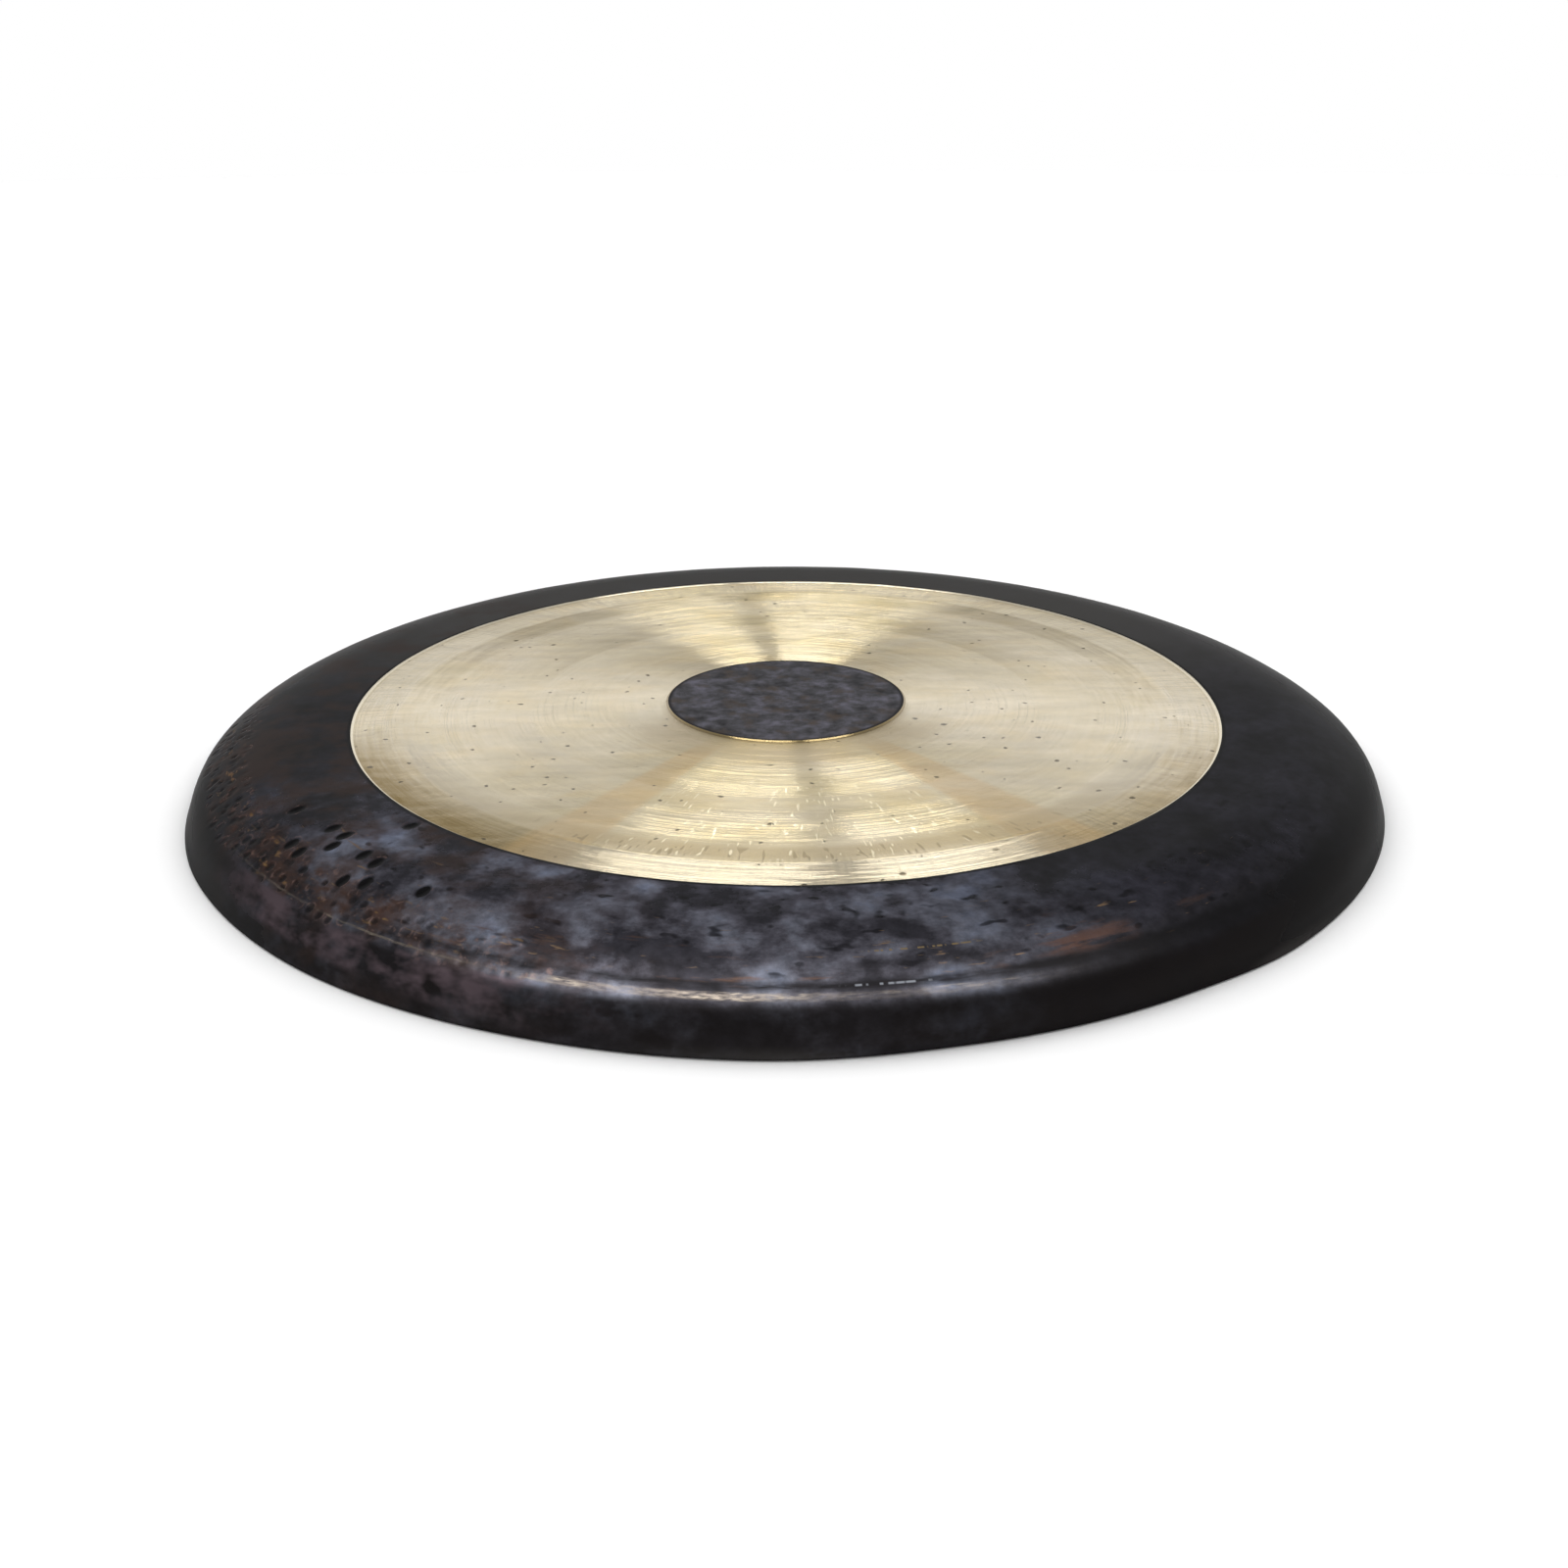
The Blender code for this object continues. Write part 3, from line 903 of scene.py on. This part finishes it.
bm = bmesh.new()
bmesh.ops.create_circle(bm, cap_ends=True, segments=64, radius=FLOOR_RADIUS)
bmesh.ops.translate(bm, verts=bm.verts, vec=(0, 0, -FLOOR_GAP))
floor_mesh = bpy.data.meshes.new("floor")
bm.to_mesh(floor_mesh)
bm.free()
floor = bpy.data.objects.new("floor", floor_mesh)
bpy.context.scene.collection.objects.link(floor)
table = bpy.data.materials.new("white_table")
table.use_nodes = True
tree = table.node_tree
tree.nodes.clear()
matte = add_node(tree, "BsdfDiffuse", {"Color": linear("#FAFAFA")})
clear = add_node(tree, "BsdfTransparent")
radius = turned_place(tree)[2]
covered = add_node(tree, "Math", {0: radius, 1: COVERED_RADIUS}, operation="LESS_THAN")
seen = add_node(tree, "LightPath", out="Is Camera Ray")
lit_through = add_node(tree, "Math", {0: covered, 1: seen}, operation="SUBTRACT", use_clamp=True)
underside = add_node(tree, "NewGeometry", out="Backfacing")
see_through = add_node(tree, "Math", {0: underside, 1: lit_through}, operation="MAXIMUM")
sided = add_node(tree, "MixShader", {0: see_through, 1: matte, 2: clear})
add_node(tree, "OutputMaterial", {"Surface": sided})
floor_mesh.materials.append(table)

# The studio: a white sweep all round, which the metal sees dim towards the ceiling. Two soft lamps
# hang side by side overhead, a little to the camera's side and with a narrow gap between them, and
# show as highlights on the metal. Two broad lights behind throw the gong's shadow forward.
LAMP_HEIGHT = 2.0
LAMP_DEPTH = 0.75
LAMP_SETBACK = -0.52
LAMP_SPANS = ((-1.27, 0.13), (0.44, 1.81))
LAMP_RADIANCE = 8.0
BACK_LIGHT_TURN = math.radians(52)
BACK_LIGHT_HEIGHT = math.radians(46)
BACK_LIGHT_ANGLE = math.radians(46)
BACK_LIGHT_POWER = 1.40
WORLD_ON_DIFFUSE = 0.50

# The sweep as the metal sees it: its brightness up to one height and from another, as parts of 1
HORIZON = 0.95
HORIZON_TOP = 0.25
ZENITH = 0.45
ZENITH_FROM = 0.85

for side, (left, right) in zip(("left", "right"), LAMP_SPANS):
    lamp = bpy.data.lights.new("soft_lamp_" + side, "AREA")
    lamp.shape = "RECTANGLE"
    lamp.size = right - left
    lamp.size_y = LAMP_DEPTH
    lamp.energy = LAMP_RADIANCE * math.pi * lamp.size * lamp.size_y
    holder = bpy.data.objects.new("soft_lamp_" + side, lamp)
    holder.location = ((left + right) / 2, LAMP_SETBACK, LAMP_HEIGHT)
    holder.visible_camera = False
    holder.visible_diffuse = False
    bpy.context.scene.collection.objects.link(holder)

for side, turned in (("left", -BACK_LIGHT_TURN), ("right", BACK_LIGHT_TURN)):
    lamp = bpy.data.lights.new("back_light_" + side, "SUN")
    lamp.angle = BACK_LIGHT_ANGLE
    lamp.energy = BACK_LIGHT_POWER
    holder = bpy.data.objects.new("back_light_" + side, lamp)
    holder.rotation_euler = (BACK_LIGHT_HEIGHT - math.pi / 2, 0.0, -turned)
    holder.visible_glossy = False
    bpy.context.scene.collection.objects.link(holder)

world = bpy.data.worlds.new("white_sweep")
bpy.context.scene.world = world
world.use_nodes = True
tree = world.node_tree
background = tree.nodes["Background"]
direction = add_node(tree, "TexCoord", out="Generated")
height = add_node(tree, "SeparateXYZ", {0: direction}, out="Z")
dimming = {
    "Value": height,
    "From Min": HORIZON_TOP,
    "From Max": ZENITH_FROM,
    "To Min": HORIZON,
    "To Max": ZENITH,
}
dimming = add_node(tree, "MapRange", dimming, interpolation_type="SMOOTHSTEP")
mirrored = add_node(tree, "LightPath", out="Is Glossy Ray")
mirrored = add_node(tree, "Mix", {0: mirrored, 2: WORLD_ON_DIFFUSE, 3: dimming}, data_type="FLOAT")
looked_at = add_node(tree, "LightPath", out="Is Camera Ray")
looked_through = add_node(tree, "LightPath", out="Is Transmission Ray")
direct = add_node(tree, "Math", {0: looked_at, 1: looked_through}, operation="MAXIMUM")
level = add_node(tree, "Mix", {0: direct, 2: mirrored, 3: 1.0}, data_type="FLOAT")
background.inputs["Color"].default_value = (1.0, 1.0, 1.0, 1.0)
tree.links.new(level, background.inputs["Strength"])
bpy.context.scene.view_settings.view_transform = "Standard"

# The camera: in front of the gong and a little over a metre off, looking down past its middle.
# Its place and turn are those that put the gong's outlines where the photograph has them.
CAMERA_PLACE = (0.0, -1.104, 0.4409)
CAMERA_PITCH = math.radians(22.72)
CAMERA_YAW = math.radians(-0.08)
CAMERA_ROLL = math.radians(-0.22)
CAMERA_LENS = 38.79

camera = bpy.data.cameras.new("camera")
camera.lens = CAMERA_LENS
camera.sensor_width = 36.0
viewer = bpy.data.objects.new("camera", camera)
viewer.matrix_world = (
    Matrix.Translation(CAMERA_PLACE)
    @ Matrix.Rotation(-CAMERA_YAW, 4, "Z")
    @ Matrix.Rotation(math.pi / 2 - CAMERA_PITCH, 4, "X")
    @ Matrix.Rotation(CAMERA_ROLL, 4, "Z")
)
bpy.context.scene.collection.objects.link(viewer)
bpy.context.scene.camera = viewer
